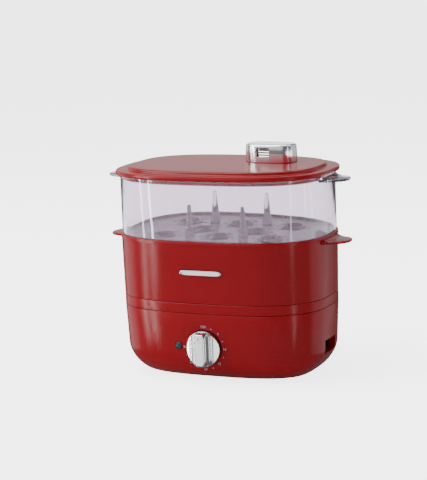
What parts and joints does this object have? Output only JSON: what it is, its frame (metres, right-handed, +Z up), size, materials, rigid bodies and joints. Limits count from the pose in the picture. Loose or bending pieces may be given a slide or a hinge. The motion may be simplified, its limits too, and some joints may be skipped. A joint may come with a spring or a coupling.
{
  "type": "egg cooker",
  "caption": "Oval two-tier electric egg cooker and food steamer: base with timer dial and pilot lamp, boiling pan, stacked lift-off steam tiers with side tabs, vented lid",
  "frame": {"origin": "on the surface the feet stand on, under the middle of the whole outline, the dial included", "axes": "+X along the long side towards the mains inlet, -Y out through the dial at the front, +Z up"},
  "size_m": [0.2568, 0.1598, 0.2258],
  "materials": {
    "red_plastic": "glossy red moulded plastic",
    "clear_plastic": "clear moulded polycarbonate",
    "chrome_trim": "polished chrome plate",
    "pan_steel": "drawn stainless steel, brushed",
    "plated_steel": "zinc-plated steel",
    "cast_aluminium": "cast, plain",
    "blade_brass": "plain",
    "black_plastic": "matt black",
    "foot_rubber": "matt",
    "silicone": "pale silicone",
    "lamp_lens": "clear grey lens"
  },
  "bodies": {
    "root": {"main_housing": "red_plastic", "bottom_cover": "black_plastic", "foot_front_left": "foot_rubber", "foot_front_right": "foot_rubber", "foot_back_left": "foot_rubber", "foot_back_right": "foot_rubber", "cover_screw_1": "plated_steel", "cover_screw_2": "plated_steel", "cover_screw_3": "plated_steel", "cover_screw_4": "plated_steel", "collar_ring": "red_plastic", "pan_gasket": "silicone", "boiling_pan": "pan_steel", "heater_plate": "cast_aluminium", "heater_element": "plated_steel", "thermostat": "black_plastic", "thermal_fuse": "silicone", "timer_body": "black_plastic", "timer_bracket": "plated_steel", "timer_screw_1": "plated_steel", "timer_screw_2": "plated_steel", "dial_bezel": "black_plastic", "pilot_lens": "lamp_lens", "lamp_body": "silicone", "inlet_socket": "black_plastic", "inlet_pin_1": "blade_brass", "inlet_pin_2": "blade_brass", "inlet_pin_3": "blade_brass", "lead_inlet_timer": "black_plastic", "lead_timer_heater": "black_plastic", "lead_inlet_heater": "black_plastic"},
    "dial": {"dial_knob": "chrome_trim", "timer_shaft": "plated_steel"},
    "lower": {"lower_tier": "red_plastic", "front_badge": "chrome_trim"},
    "basket": {"steam_basket": "clear_plastic"},
    "lid": {"lid_shell": "red_plastic", "vent_cover": "chrome_trim", "vent_grille": "chrome_trim", "vent_screw_1": "plated_steel", "vent_screw_2": "plated_steel"}
  },
  "joints": [
    {"name": "dial_turn", "type": "hinge", "parent": "root", "child": "dial", "pos_m": [0, -0.0682, 0.0354], "axis": [0, 1, 0], "range_deg": [0, 270]},
    {"name": "lower_lift", "type": "slide", "parent": "root", "child": "lower", "axis": [0, 0, 1], "range_m": [0, 0.08]},
    {"name": "basket_lift", "type": "slide", "parent": "lower", "child": "basket", "axis": [0, 0, 1], "range_m": [0, 0.09]},
    {"name": "lid_lift", "type": "slide", "parent": "basket", "child": "lid", "axis": [0, 0, 1], "range_m": [0, 0.12]}
  ]
}
